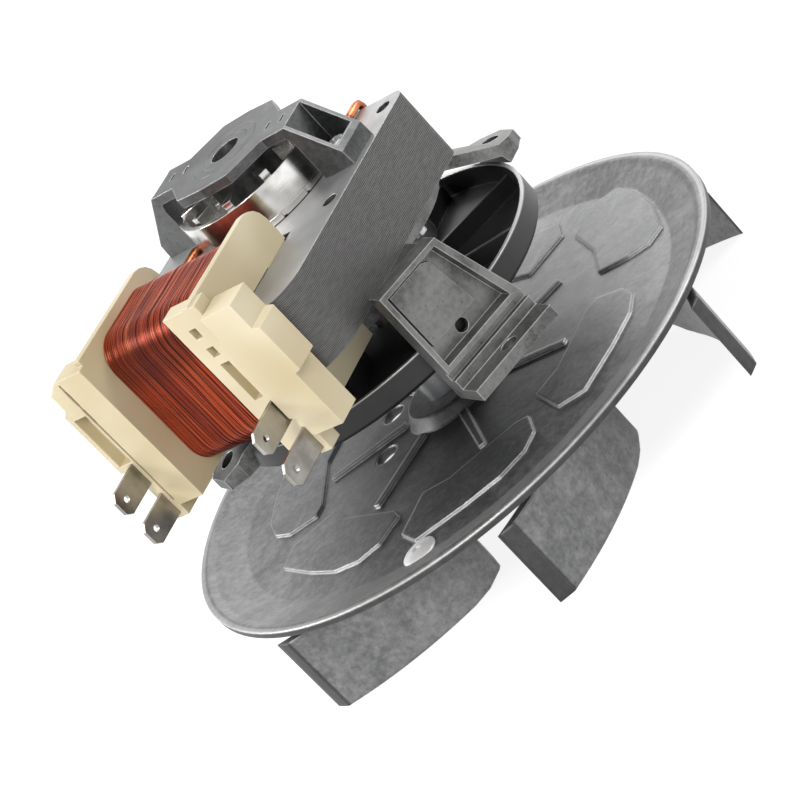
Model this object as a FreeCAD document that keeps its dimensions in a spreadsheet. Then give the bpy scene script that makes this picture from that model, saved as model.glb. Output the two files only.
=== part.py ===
import FreeCAD, Part
import math
import os
from types import SimpleNamespace

import Sketcher

# Oven fan motor: a shaded pole motor that turns a die-cast impeller.
# Frame: the shaft axis is Z and points from the impeller up to the motor.
# Z = 0 is the plane on which the four feet of the front bracket stand.
# X runs along the coil, Y points away from it.

doc = FreeCAD.newDocument("OvenFanMotor")
sheet = doc.addObject("Spreadsheet::Sheet", "Dims")

SIZES = {
    # shaft
    "shaft_dia": 6.0,
    "shaft_short": 2.0,
    "shaft_past": 8.0,
    # rotor
    "rotor_dia": 38.0,
    "rotor_gap": 0.5,
    "rotor_bore": 6.02,
    "core_over": 1.6,
    "core_under": 1.0,
    "bar_count": 16,
    "bar_wide": 2.4,
    "bar_long": 5.0,
    "bar_deep": 1.6,
    "bar_room": 0.05,
    "mouth_wide": 0.8,
    "mouth_deep": 0.5,
    "cage_room": 2.0,
    "cage_ring": 3.3,
    "cage_under": 4.0,
    "cage_lip": 1.2,
    "cage_cup": 7.3,
    "fin_count": 10,
    "fin_high": 5.5,
    "fin_wide": 2.2,
    # lamination stack, outward from the bore
    "stack_low": 28.4,
    "stack_thick": 18.7,
    "head_side": 13.5,
    "head_far": 1.5,
    "head_near": 2.0,
    "arm_wide": 13.6,
    "arm_round": 3.0,
    "leg_over": 5.5,
    "leg_round": 12.0,
    "core_off": 12.5,
    "core_wide": 13.0,
    "hole_dia": 3.8,
    "hole_side": 4.2,
    "hole_end": 4.9,
    # coil and bobbin
    "flange_gap": 0.2,
    "flange_wall": 1.8,
    "flange_off": 3.2,
    "flange_under": 10.4,
    "flange_over": 11.3,
    "tongue_off": 2.5,
    "tongue_round": 5.0,
    "tube_wall": 1.2,
    "coil_gap": 0.1,
    "coil_side": 5.4,
    "coil_rise": 8.0,
    "coil_round": 7.0,
    "block_over": 7.5,
    "block_in": 6.6,
    "block_out": 11.6,
    "block_top": 55.4,
    "block_bottom": 20.2,
    "strip_deep": 1.8,
    "strip_top": 58.0,
    "strip_bottom": 14.6,
    "far_out": 12.8,
    # terminals
    "tab_wide": 6.3,
    "tab_thick": 0.8,
    "tab_out": 11.0,
    "tab_seat": 4.0,
    "tab_room": 0.05,
    "tab_hole": 1.6,
    "tab_hole_in": 3.0,
    "tab_pitch": 9.5,
    "tab_low": 18.9,
    "tab_near": 1.6,
    "tab_far": 9.9,
    # shading rings
    "ring_wire": 2.0,
    "ring_room": 0.15,
    "ring_inset": 1.2,
    "ring_y": 9.4,
    "ring_corner": 1.8,
    # screws and their holes
    "screw_dia": 4.0,
    "screw_room": 0.4,
    "screw_off": 3.3,
    "screw_length": 26.5,
    "head_dia": 6.4,
    "head_high": 2.6,
    "cross_wide": 1.0,
    # rear bracket
    "plate_rise": 15.1,
    "plate_wall": 2.4,
    "bridge_half": 5.3,
    "bridge_bulge": 13.4,
    "bridge_neck": 7.4,
    "bridge_in": 4.3,
    "bridge_out": 5.0,
    "bridge_slope": 8.6,
    "bridge_edge": 4.0,
    "foot_wall": 2.4,
    "box_wall": 1.1,
    "boss_deep": 8.0,
    "oil_hole": 7.8,
    "stake_x": 14.1,
    "stake_pitch": 4.6,
    # bearings
    "ball_dia": 13.0,
    "ball_bore": 6.04,
    "ball_length": 9.0,
    "ball_room": 0.02,
    "seat_wall": 2.5,
    "retainer_wall": 0.6,
    "retainer_in": 11.4,
    "washer_dia": 11.0,
    "washer_gap": 0.3,
    # front bracket
    "cup_gap": 2.0,
    "cup_deep": 11.9,
    "cup_wall": 2.0,
    "boss_drop": 4.0,
    "boss_rise": 4.5,
    "spider_thick": 3.0,
    "spider_over": 4.7,
    "leg_turn": -28.0,
    "leg_gap": 1.2,
    "leg_deep": 5.3,
    "leg_near": 13.6,
    "leg_far": 4.6,
    "leg_foot": 11.5,
    "leg_rise": 2.0,
    "leg_wall": 1.3,
    "sill_high": 9.0,
    "sill_low": 5.6,
    "sill_deep": 1.6,
    "panel_low": 13.2,
    "panel_rise": 1.2,
    "drill_dia": 3.2,
    "foot_thick": 3.0,
    "foot_out": 6.0,
    "foot_hole": 4.2,
    "foot_bolt": 8.0,
    "ear_edge": 4.8,
    "ear_low": 11.0,
    "ear_half": 11.0,
    "ear_side": 4.0,
    "ear_bolt": 3.6,
    # cooling fan
    "fan_dia": 90.0,
    "fan_low": 6.6,
    "fan_high": 6.4,
    "fan_wall": 1.0,
    "fan_hub": 7.0,
    "fan_hub_deep": 3.0,
    "fan_blades": 9,
    "fan_blade_in": 14.0,
    "fan_lean": 6.0,
    # impeller
    "imp_dia": 150.0,
    "imp_rim_top": -14.0,
    "imp_wall": 2.0,
    "imp_dish": 3.0,
    "imp_tip": -39.0,
    "hub_dia": 22.0,
    "hub_low": -29.0,
    "hub_rise": 3.0,
    "blade_count": 7,
    "blade_wall": 2.4,
    "blade_long": 27.5,
    "blade_sweep": 38.0,
    "blade_lean": 52.0,
    "blade_bow": 80.0,
    "blade_turn": -54.0,
    "blade_curl": 7.0,
    "rib_long": 25.0,
    "rib_turn": 4.0,
    "rib_high": 0.8,
    "vent_dia": 6.0,
    "vent_circle": 42.0,
    "pad_high": 0.7,
    "washer_wall": 1.2,
    "nut_high": 4.5,
    "nut_flats": 10.0,
}
for row, (alias, value) in enumerate(SIZES.items(), start=1):
    sheet.set("A%d" % row, alias)
    sheet.set("B%d" % row, str(value))
    sheet.setAlias("B%d" % row, alias)
doc.recompute()


class Size:
    """A number worked out from the sheet: its formula as text and its value now."""

    def __init__(self, text, value):
        self.text = text
        self.value = value

    def __add__(self, other):
        return joined(self, "+", other)

    def __radd__(self, other):
        return joined(other, "+", self)

    def __sub__(self, other):
        return joined(self, "-", other)

    def __rsub__(self, other):
        return joined(other, "-", self)

    def __mul__(self, other):
        return joined(self, "*", other)

    def __rmul__(self, other):
        return joined(other, "*", self)

    def __truediv__(self, other):
        return joined(self, "/", other)

    def __neg__(self):
        return joined(0, "-", self)


def as_size(number):
    """The number itself as a Size."""
    if isinstance(number, Size):
        return number
    return Size("(%s)" % float(number), float(number))


def joined(left, sign, right):
    """Two sizes joined by a sign."""
    a = as_size(left)
    b = as_size(right)
    value = {
        "+": a.value + b.value,
        "-": a.value - b.value,
        "*": a.value * b.value,
        "/": a.value / b.value if b.value else 0.0,
    }[sign]
    return Size("(%s %s %s)" % (a.text, sign, b.text), value)


def cosine(angle):
    """Cosine of a size in degrees."""
    angle = as_size(angle)
    return Size("cos(%s * 1deg)" % angle.text, math.cos(math.radians(angle.value)))


def sine(angle):
    """Sine of a size in degrees."""
    angle = as_size(angle)
    return Size("sin(%s * 1deg)" % angle.text, math.sin(math.radians(angle.value)))


d = SimpleNamespace(**{alias: Size("Dims." + alias, value) for alias, value in SIZES.items()})
parts = []


def bind(thing, name, size):
    """Tie one property to its formula."""
    thing.setExpression(name, as_size(size).text)


def new_body(label, turn=None, place=None):
    """A body of its own, turned about the shaft axis and moved if need be."""
    body = doc.addObject("PartDesign::Body", label)
    body.Label = label
    if turn is not None:
        body.Placement = FreeCAD.Placement(FreeCAD.Vector(), FreeCAD.Vector(0, 0, 1), turn.value)
        bind(body, "Placement.Rotation.Angle", turn)
    for axis, size in zip("xyz", place or ()):
        bind(body, "Placement.Base." + axis, size)
    parts.append(body)
    return body


def new_sketch(body, plane, lift=0):
    """A sketch on one of the body's own planes, lifted along its normal."""
    sketch = body.newObject("Sketcher::SketchObject", body.Name + "_sketch")
    support = [f for f in body.Origin.OriginFeatures if f.Role == plane + "_Plane"][0]
    sketch.AttachmentSupport = [(support, "")]
    sketch.MapMode = "FlatFace"
    bind(sketch, "AttachmentOffset.Base.z", lift)
    return sketch


def pin(sketch, shape, point, x, y):
    """Hold one point of a sketch at x, y from its origin."""
    for kind, size in (("DistanceX", as_size(x)), ("DistanceY", as_size(y))):
        index = sketch.addConstraint(Sketcher.Constraint(kind, -1, 1, shape, point, size.value))
        sketch.setExpression("Constraints[%d]" % index, size.text)


def flat(x, y):
    """The present place of a sketch point."""
    return FreeCAD.Vector(as_size(x).value, as_size(y).value, 0)


def outline(sketch, corners):
    """A closed outline of straight edges through the corners."""
    start = sketch.GeometryCount
    count = len(corners)
    for k in range(count):
        edge = Part.LineSegment(flat(*corners[k]), flat(*corners[(k + 1) % count]))
        sketch.addGeometry(edge)
    for k in range(count):
        here = start + k
        after = start + (k + 1) % count
        sketch.addConstraint(Sketcher.Constraint("Coincident", here, 2, after, 1))
        pin(sketch, here, 1, *corners[k])


def oblong(sketch, x0, x1, y0, y1):
    """A rectangle between two corners."""
    outline(sketch, [(x0, y0), (x1, y0), (x1, y1), (x0, y1)])


def ring(sketch, x, y, radius):
    """A circle."""
    radius = as_size(radius)
    index = sketch.addGeometry(Part.Circle(flat(x, y), FreeCAD.Vector(0, 0, 1), radius.value))
    pin(sketch, index, 3, x, y)
    k = sketch.addConstraint(Sketcher.Constraint("Radius", index, radius.value))
    sketch.setExpression("Constraints[%d]" % k, radius.text)


def pad(body, sketch, length, middle=False, down=False):
    """Material raised from a sketch."""
    feature = body.newObject("PartDesign::Pad", body.Name + "_pad")
    feature.Profile = sketch
    bind(feature, "Length", length)
    feature.Midplane = middle
    feature.Reversed = down
    doc.recompute()
    return feature


def pocket(body, sketch, length, middle=False, up=False):
    """Material taken away below a sketch, or above it."""
    feature = body.newObject("PartDesign::Pocket", body.Name + "_pocket")
    feature.Profile = sketch
    bind(feature, "Length", length)
    feature.Midplane = middle
    feature.Reversed = up
    before = feature.BaseFeature.Shape.Volume
    doc.recompute()
    if feature.Shape.Volume > before - 1e-6:
        raise ValueError(feature.Name + " cuts nothing")
    return feature


def turned(body, sketch, kind="Revolution"):
    """Material turned, or grooved, about the shaft axis."""
    feature = body.newObject("PartDesign::" + kind, body.Name + "_" + kind.lower())
    feature.Profile = sketch
    feature.ReferenceAxis = (sketch, ["V_Axis"])
    feature.Angle = 360.0
    doc.recompute()
    return feature


def around(body, features, sketch, count):
    """Copies of features spaced evenly about the shaft axis."""
    pattern = body.newObject("PartDesign::PolarPattern", body.Name + "_round")
    pattern.Originals = features
    pattern.Axis = (sketch, ["N_Axis"])
    pattern.Angle = 360
    bind(pattern, "Occurrences", count)
    body.Tip = pattern
    doc.recompute()
    return pattern


def rounded(body, base, radius, chosen):
    """A fillet on the edges of the last feature that the test picks."""
    names = ["Edge%d" % (k + 1) for k, edge in enumerate(base.Shape.Edges) if chosen(edge)]
    feature = body.newObject("PartDesign::Fillet", body.Name + "_fillet")
    feature.Base = (base, names)
    bind(feature, "Radius", radius)
    doc.recompute()
    return feature


def upright(edge, x, y, near=0.5):
    """Whether an edge runs along Z at about x, y."""
    box = edge.BoundBox
    flat_edge = box.XLength < 0.01 and box.YLength < 0.01 and box.ZLength > 0.1
    place = abs(box.XMin - as_size(x).value) < near and abs(box.YMin - as_size(y).value) < near
    return flat_edge and place


rotor_radius = d.rotor_dia / 2
bore_radius = rotor_radius + d.rotor_gap
bar_out = rotor_radius - d.bar_deep
cage_in = d.ball_dia / 2 + d.seat_wall + d.cage_room
stack_high = d.stack_low + d.stack_thick
stack_half = bore_radius + d.head_side
arm_end = bore_radius + d.head_far
window_end = bore_radius + d.head_near
window_half = stack_half - d.arm_wide
core_far = window_end + d.core_off
core_near = core_far + d.core_wide
leg_end = core_near + d.leg_over
core_low = d.stack_low - d.core_under
core_high = stack_high + d.core_over
tube_in = d.flange_gap
tube_out = d.flange_gap + d.tube_wall
flange_out = window_half - d.flange_gap
flange_in = flange_out - d.flange_wall
flange_back = window_end + d.flange_off
flange_low = d.stack_low - d.flange_under
flange_high = stack_high + d.flange_over
tongue_end = window_end + d.tongue_off
block_front = leg_end + d.block_over
block_back = leg_end + d.flange_gap
strip_back = core_near + tube_out + d.coil_side + d.coil_gap
tab_near_x = flange_in + d.tab_near
tab_far_x = -flange_in - d.tab_far
ring_x = bore_radius - d.ring_inset
ring_far = window_end + d.ring_wire / 2 + 0.2
cup_radius = rotor_radius + d.cup_gap + d.cup_wall
cup_floor = d.stack_low - d.cup_deep
screw_circle = cup_radius + d.screw_off
spider_radius = screw_circle + d.spider_over
plate_top = stack_high + d.plate_rise
plate_low = plate_top - d.plate_wall
bridge_in = screw_circle - d.bridge_in
bridge_out = screw_circle + d.bridge_out
rear_ball = plate_low - d.ball_length / 2
front_ball = cup_floor + 1
fan_radius = d.fan_dia / 2
fan_rim = d.fan_low + d.fan_high
leg_in = fan_radius + d.leg_gap
leg_out = leg_in + d.leg_deep
ear_bolt = leg_in + d.ear_bolt
ear_out = ear_bolt + d.ear_edge
wheel_radius = d.imp_dia / 2


def spun(x, y, angle):
    """A point turned about the origin by an angle in degrees."""
    c = cosine(angle)
    s = sine(angle)
    return x * c - y * s, x * s + y * c


def spun_box(sketch, x0, x1, y0, y1, angle):
    """A rectangle turned about the origin."""
    outline(sketch, [spun(x, y, angle) for x, y in ((x0, y0), (x1, y0), (x1, y1), (x0, y1))])


def make_shaft():
    """Ground steel shaft with chamfered ends."""
    body = new_body("shaft")
    sketch = new_sketch(body, "XZ")
    r = d.shaft_dia / 2
    edge = 0.5
    low = d.hub_low - d.shaft_past
    high = plate_top - d.shaft_short
    outline(sketch, [
        (0, low), (r - edge, low), (r, low + edge),
        (r, high - edge), (r - edge, high), (0, high)])
    turned(body, sketch)


def make_rotor_core():
    """Laminated rotor core with closed bar slots and a narrow mouth to each."""
    body = new_body("rotor_core")
    low = core_low
    tall = core_high - core_low
    sketch = new_sketch(body, "XY", low)
    ring(sketch, 0, 0, rotor_radius)
    ring(sketch, 0, 0, d.rotor_bore / 2)
    pad(body, sketch, tall)
    slot = new_sketch(body, "XY", low)
    half = d.bar_wide / 2 + d.bar_room
    oblong(slot, bar_out - d.bar_long - d.bar_room, bar_out + d.bar_room, -half, half)
    cut = pocket(body, slot, tall, up=True)
    mouth = new_sketch(body, "XY", low)
    edge = rotor_radius
    oblong(mouth, edge - d.mouth_deep, edge + 1, -d.mouth_wide / 2, d.mouth_wide / 2)
    split = pocket(body, mouth, tall, up=True)
    around(body, [cut, split], slot, d.bar_count)


def make_rotor_cage():
    """Die-cast cage: bars, a plain lower ring and a cupped upper ring with fins."""
    body = new_body("rotor_cage")
    outer = rotor_radius
    inner = cage_in
    sketch = new_sketch(body, "XZ")
    outline(sketch, [
        (inner, core_high), (outer, core_high), (outer, core_high + d.cage_cup),
        (outer - d.cage_lip, core_high + d.cage_cup), (outer - d.cage_lip, core_high + d.cage_ring),
        (inner, core_high + d.cage_ring)])
    turned(body, sketch)
    bar = new_sketch(body, "XY", core_low - 0.5)
    oblong(bar, bar_out - d.bar_long, bar_out, -d.bar_wide / 2, d.bar_wide / 2)
    bars = pad(body, bar, core_high - core_low + 1)
    around(body, [bars], bar, d.bar_count)
    lower = new_sketch(body, "XZ")
    outline(lower, [
        (inner, core_low - d.cage_under), (outer - 0.8, core_low - d.cage_under),
        (outer, core_low - d.cage_under + 0.8), (outer, core_low), (inner, core_low)])
    turned(body, lower)
    fin = new_sketch(body, "XY", core_high + d.cage_ring - 0.3)
    oblong(fin, inner + 0.8, outer - d.cage_lip - 0.6, -d.fin_wide / 2, d.fin_wide / 2)
    fins = pad(body, fin, d.fin_high + 0.3)
    around(body, [fins], fin, d.fin_count)


def make_stack():
    """Stator laminations: two legs for the coil core, a bored head and four holes."""
    body = new_body("stator_stack")
    sketch = new_sketch(body, "XY", d.stack_low)
    half = stack_half
    inside = window_half
    outline(sketch, [
        (half, -leg_end), (half, arm_end), (-half, arm_end), (-half, -leg_end),
        (-inside, -leg_end), (-inside, -window_end), (inside, -window_end),
        (inside, -leg_end)])
    ring(sketch, 0, 0, bore_radius)
    base = pad(body, sketch, d.stack_thick)
    corners = rounded(body, base, d.leg_round, lambda e: upright(e, half, -leg_end)
                      or upright(e, -half, -leg_end))
    rounded(body, corners, d.arm_round, lambda e: upright(e, half, arm_end)
            or upright(e, -half, arm_end))
    holes = new_sketch(body, "XY", d.stack_low)
    for side in (1, -1):
        for end in (1, -1):
            ring(holes, side * (half - d.hole_side), end * (arm_end - d.hole_end), d.hole_dia / 2)
        ring(holes, side * screw_circle, 0, d.screw_dia / 2 + d.screw_room / 2)
    pocket(body, holes, d.stack_thick, up=True)
    slots = new_sketch(body, "XY", d.stack_low)
    room = d.ring_wire / 2 + d.ring_room
    for side in (1, -1):
        deep = ring_x + room
        shallow = ring_x - room - 2
        oblong(slots, side * shallow, side * deep, side * d.ring_y - room, side * d.ring_y + room)
    pocket(body, slots, d.stack_thick, up=True)


def make_core():
    """Laminated bar that joins the two legs through the coil."""
    bar = doc.addObject("Part::Box", "coil_core")
    bind(bar, "Length", window_half * 2)
    bind(bar, "Width", d.core_wide)
    bind(bar, "Height", d.stack_thick)
    bind(bar, "Placement.Base.x", -window_half)
    bind(bar, "Placement.Base.y", -core_near)
    bind(bar, "Placement.Base.z", d.stack_low)
    parts.append(bar)


def make_bobbin():
    """Moulded bobbin: tube, two flanges with tongues and a terminal block on each."""
    body = new_body("bobbin")
    tube = new_sketch(body, "YZ")
    oblong(tube, -core_near - tube_out, -core_far + tube_out,
           d.stack_low - tube_out, stack_high + tube_out)
    oblong(tube, -core_near - tube_in, -core_far + tube_in,
           d.stack_low - tube_in, stack_high + tube_in)
    pad(body, tube, flange_out * 2, middle=True)
    seat = stack_high + d.flange_gap
    front = block_front - d.strip_deep
    bend = d.tongue_round
    for side in (1, -1):
        plate = new_sketch(body, "YZ", flange_in if side > 0 else -flange_out)
        outline(plate, [
            (-front, flange_low), (-flange_back, flange_low),
            (-flange_back, seat), (-tongue_end, seat),
            (-tongue_end, flange_high - bend),
            (-tongue_end - bend * 0.1, flange_high - bend * 0.6),
            (-tongue_end - bend * 0.3, flange_high - bend * 0.3),
            (-tongue_end - bend * 0.6, flange_high - bend * 0.1),
            (-tongue_end - bend, flange_high), (-front, flange_high)])
        oblong(plate, -core_near - tube_in, -core_far + tube_in,
               d.stack_low - tube_in, stack_high + tube_in)
        pad(body, plate, d.flange_wall)
    make_near_block(body)
    make_far_block(body)
    seats = new_sketch(body, "XZ", block_front)
    thick = d.tab_thick / 2 + d.tab_room
    tall = d.tab_wide / 2 + d.tab_room
    for x in (tab_near_x, tab_far_x):
        for level in (d.tab_low, d.tab_low + d.tab_pitch):
            oblong(seats, x - thick, x + thick, level - tall, level + tall)
    pocket(body, seats, d.tab_seat + d.tab_room)


def make_near_block(body):
    """A strip with a recess and two windows, and the raised, stepped block beside it."""
    front = block_front - d.strip_deep
    inner = flange_in - d.block_in
    strip = new_sketch(body, "XZ", strip_back)
    oblong(strip, inner, tab_near_x + 2, d.strip_bottom, d.strip_top)
    pad(body, strip, front - strip_back)
    recess = new_sketch(body, "XZ", front)
    x = inner + 3.4
    low = d.tab_low + d.tab_pitch + d.tab_wide / 2 + 0.8
    oblong(recess, x, x + 2.8, low, low + 11)
    for k in range(2):
        oblong(recess, x + 0.2, x + 2.4, low + 13 + 5.4 * k, low + 15.6 + 5.4 * k)
    pocket(body, recess, 3.0)
    block = new_sketch(body, "XZ", block_front)
    left = tab_near_x + 0.8
    right = flange_out + d.block_out + 1.8
    high = d.block_top
    low = d.block_bottom
    outline(block, [
        (left + 2.0, low), (right - 1.8, low), (right - 1.8, low + 15.0),
        (right, low + 15.4), (right, high - 7.4), (right - 1.8, high - 6.8),
        (right - 1.8, high), (left + 1.6, high), (left + 1.6, high - 6.4),
        (left, high - 7.8), (left, low + 6.0), (left + 2.0, low + 5.0)])
    pad(body, block, block_front - block_back, down=True)


def make_far_block(body):
    """A block whose outer strip has a long recess and a groove with two slots."""
    block = new_sketch(body, "XZ", strip_back)
    right = -flange_in
    left = -flange_out - d.far_out
    split = tab_far_x + 2.1
    low = d.strip_bottom
    outline(block, [
        (right, low + 3.0), (split, low + 3.0), (split, low), (left + 2.8, low),
        (left + 2.8, low + 15.4), (left, low + 15.8), (left, low + 33.8),
        (left + 1.8, low + 35.4), (left + 1.8, low + 39.8), (split - 1.2, d.strip_top - 1),
        (right, d.strip_top - 1)])
    pad(body, block, block_front - strip_back)
    groove = new_sketch(body, "XZ", block_front)
    oblong(groove, split - 0.7, split, low + 4.6, d.strip_top - 2)
    pocket(body, groove, 0.9)
    slots = new_sketch(body, "XZ", block_front)
    for k in range(2):
        oblong(slots, split - 0.8, split + 0.1, low + 29.6 + 5.6 * k, low + 33.6 + 5.6 * k)
    oblong(slots, left + 1.4, split - 1.2, low + 17.4, low + 32.2)
    pocket(body, slots, 3.2)


def make_coil():
    """Wound copper: a rounded block about the tube between the flanges."""
    body = new_body("coil_winding")
    sketch = new_sketch(body, "YZ")
    near = -core_near - tube_out
    far = -core_far + tube_out
    low = d.stack_low - tube_out
    high = stack_high + tube_out
    oblong(sketch, near - d.coil_side, far + d.coil_side, low - d.coil_rise, high + d.coil_rise)
    oblong(sketch, near, far, low, high)
    base = pad(body, sketch, (flange_in - d.coil_gap) * 2, middle=True)

    def corner(edge):
        box = edge.BoundBox
        along = box.XLength > 1 and box.YLength < 0.01 and box.ZLength < 0.01
        sides = ((near - d.coil_side).value, (far + d.coil_side).value)
        return along and min(abs(box.YMin - s) for s in sides) < 0.01
    rounded(body, base, d.coil_round, corner)


def make_tabs():
    """Four tinned spade terminals, each with a hole and a chamfered end."""
    places = {
        "terminal_near_upper": (tab_near_x, d.tab_low + d.tab_pitch),
        "terminal_near_lower": (tab_near_x, d.tab_low),
        "terminal_far_upper": (tab_far_x, d.tab_low + d.tab_pitch),
        "terminal_far_lower": (tab_far_x, d.tab_low),
    }
    half = d.tab_wide / 2
    for label, (x, z) in places.items():
        body = new_body(label, place=(x, -block_front, z))
        sketch = new_sketch(body, "YZ")
        outline(sketch, [
            (d.tab_seat, -half), (d.tab_seat, half), (-d.tab_out + 1.6, half),
            (-d.tab_out, half - 1.4), (-d.tab_out, -half + 1.4), (-d.tab_out + 1.6, -half)])
        ring(sketch, -d.tab_out + d.tab_hole_in, 0, d.tab_hole / 2)
        pad(body, sketch, d.tab_thick, middle=True)


def make_shading_rings():
    """Two closed loops of thick copper wire about the pole tips."""
    for side, label in ((1, "shading_ring_right"), (-1, "shading_ring_left")):
        body = new_body(label)
        r = d.ring_wire / 2
        low = d.stack_low - r - d.ring_room
        high = stack_high + r + d.ring_room
        x = side * ring_x
        sketch = new_sketch(body, "YZ", x - r)
        first, last = (d.ring_y, ring_far) if side > 0 else (-ring_far, -d.ring_y)
        bend = d.ring_corner
        outline(sketch, [
            (first - r + bend, low - r), (last + r - bend, low - r), (last + r, low - r + bend),
            (last + r, high + r - bend), (last + r - bend, high + r), (first - r + bend, high + r),
            (first - r, high + r - bend), (first - r, low - r + bend)])
        oblong(sketch, first + r, last - r, low + r, high - r)
        pad(body, sketch, d.ring_wire)


def make_rear_bracket():
    """Cast bridge over the rotor: bearing plate, two box feet and a bearing boss."""
    body = new_body("rear_bracket")
    plate = new_sketch(body, "XY", plate_low)
    top_corner = bridge_out - d.bridge_slope
    b = d.bridge_half
    c = d.bridge_bulge
    side_x = top_corner - d.bridge_neck
    wide_x = side_x - 7.0
    outline(plate, [
        (-top_corner, -b), (-side_x, -b), (-wide_x, -c), (0, -c - 0.7), (wide_x, -c),
        (side_x, -b), (top_corner, -b), (top_corner, b), (side_x, b), (wide_x, c),
        (0, c + 0.7), (-wide_x, c), (-side_x, b), (-top_corner, b)])
    pad(body, plate, d.plate_wall)
    edge = stack_high + d.bridge_edge
    for s in (1, -1):
        side = new_sketch(body, "XZ")
        outline(side, [
            (s * bridge_in, stack_high), (s * bridge_out, stack_high),
            (s * (bridge_out - 0.3), edge), (s * top_corner, plate_top),
            (s * (top_corner - 2.4), plate_top), (s * bridge_in, plate_low - 2)])
        pad(body, side, b * 2, middle=True)
    boxes = new_sketch(body, "XY", plate_top)
    for s in (1, -1):
        oblong(boxes, s * (top_corner - 0.2), s * (bridge_out - d.box_wall - 0.3),
               -b + d.box_wall, b - d.box_wall)
    pocket(body, boxes, plate_top - stack_high - d.foot_wall)
    boss = new_sketch(body, "XY", plate_low - d.boss_deep)
    ring(boss, 0, 0, d.ball_dia / 2 + d.seat_wall)
    pad(body, boss, d.boss_deep + 0.2)
    bore = new_sketch(body, "XY", plate_low)
    ring(bore, 0, 0, d.ball_dia / 2 + d.ball_room)
    pocket(body, bore, d.boss_deep + 1)
    holes = new_sketch(body, "XY", plate_top)
    ring(holes, 0, 0, d.oil_hole / 2)
    pocket(body, holes, d.plate_wall + 1)
    bolts = new_sketch(body, "XY", stack_high + d.foot_wall)
    for s in (1, -1):
        ring(bolts, s * screw_circle, 0, d.screw_dia / 2 + d.screw_room / 2)
    pocket(body, bolts, d.foot_wall + 1)
    marks = new_sketch(body, "XY", plate_top)
    for s in (1, -1):
        for k in range(2):
            x = s * (d.stake_x + k * d.stake_pitch)
            oblong(marks, x - 0.45, x + 0.45, -0.6, 2.0)
    pocket(body, marks, 0.8)


def make_bearing(label, middle):
    """Sintered bronze ball with a shaft bore and two flat ends."""
    body = new_body(label, place=(0, 0, middle))
    sketch = new_sketch(body, "XZ")
    ball = d.ball_dia / 2
    half = d.ball_length / 2
    bore = d.ball_bore / 2
    end = ball * 0.71
    outline(sketch, [
        (bore, -half), (end, -half), (ball * 0.99, -half * 0.35),
        (ball * 0.99, half * 0.35), (end, half), (bore, half)])
    turned(body, sketch)


def make_retainer(label, level):
    """Pressed spring plate that holds a bearing ball in its boss."""
    body = new_body(label, place=(0, 0, level))
    sketch = new_sketch(body, "XY")
    ring(sketch, 0, 0, d.ball_dia / 2 + d.seat_wall)
    ring(sketch, 0, 0, d.retainer_in / 2)
    pad(body, sketch, d.retainer_wall)


def make_screws():
    """Two long screws that clamp both brackets to the stack."""
    for side, label in ((1, "screw_right"), (-1, "screw_left")):
        body = new_body(label, place=(side * screw_circle, 0, stack_high + d.foot_wall))
        sketch = new_sketch(body, "XZ")
        r = d.screw_dia / 2
        h = d.head_dia / 2
        outline(sketch, [
            (0, -d.screw_length), (r, -d.screw_length), (r, 0),
            (h, 0), (h, d.head_high - 1), (h - 1.2, d.head_high), (0, d.head_high)])
        turned(body, sketch)
        cross = new_sketch(body, "XY", d.head_high)
        arm = d.cross_wide / 2
        reach = d.cross_wide * 2.2
        oblong(cross, -reach, reach, -arm, arm)
        pocket(body, cross, 1.6)
        other = new_sketch(body, "XY", d.head_high)
        oblong(other, -arm, arm, -reach, reach)
        pocket(body, other, 1.6)


def make_front_bracket():
    """Cast front bracket: rotor cup, bearing boss, two box legs and two ear arms."""
    body = new_body("front_bracket", turn=d.leg_turn)
    flange_top = d.stack_low
    under = flange_top - d.spider_thick
    sketch = new_sketch(body, "XZ")
    seat = d.ball_dia / 2 + d.ball_room
    boss = d.ball_dia / 2 + d.seat_wall
    inner = cup_radius - d.cup_wall
    outline(sketch, [
        (seat, cup_floor - d.boss_drop), (boss, cup_floor - d.boss_drop), (boss, cup_floor),
        (cup_radius, cup_floor), (cup_radius, under), (spider_radius, under),
        (spider_radius, flange_top), (inner, flange_top), (inner, cup_floor + d.cup_wall),
        (boss, cup_floor + d.cup_wall), (boss, cup_floor + d.boss_rise),
        (seat, cup_floor + d.boss_rise)])
    turned(body, sketch)
    for s in (1, -1):
        make_box_leg(body, s, flange_top)
        make_ear_arm(body, s, flange_top if s > 0 else cup_floor + 1)
    relief = new_sketch(body, "XY", flange_top)
    reach = flange_out + 1.8
    spun_box(relief, -reach, reach, -cup_radius - 12, -cup_radius - 0.4, -d.leg_turn)
    pocket(body, relief, flange_top - flange_low + 0.6)
    notch = new_sketch(body, "XY", flange_top)
    wire = d.ring_wire / 2 + d.ring_room + 0.3
    for s in (1, -1):
        spun_box(notch, s * (ring_x - wire), s * (ring_x + wire),
                 s * (d.ring_y - wire), s * (ring_far + wire), -d.leg_turn)
    pocket(body, notch, d.ring_wire + d.ring_room + 0.3)
    holes = new_sketch(body, "XY", flange_top)
    for s in (1, -1):
        x = s * (screw_circle * cosine(d.leg_turn))
        y = s * (screw_circle * sine(-d.leg_turn))
        ring(holes, x, y, d.screw_dia / 2 + d.ball_room)
    pocket(body, holes, d.spider_thick + 2.5)


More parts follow.
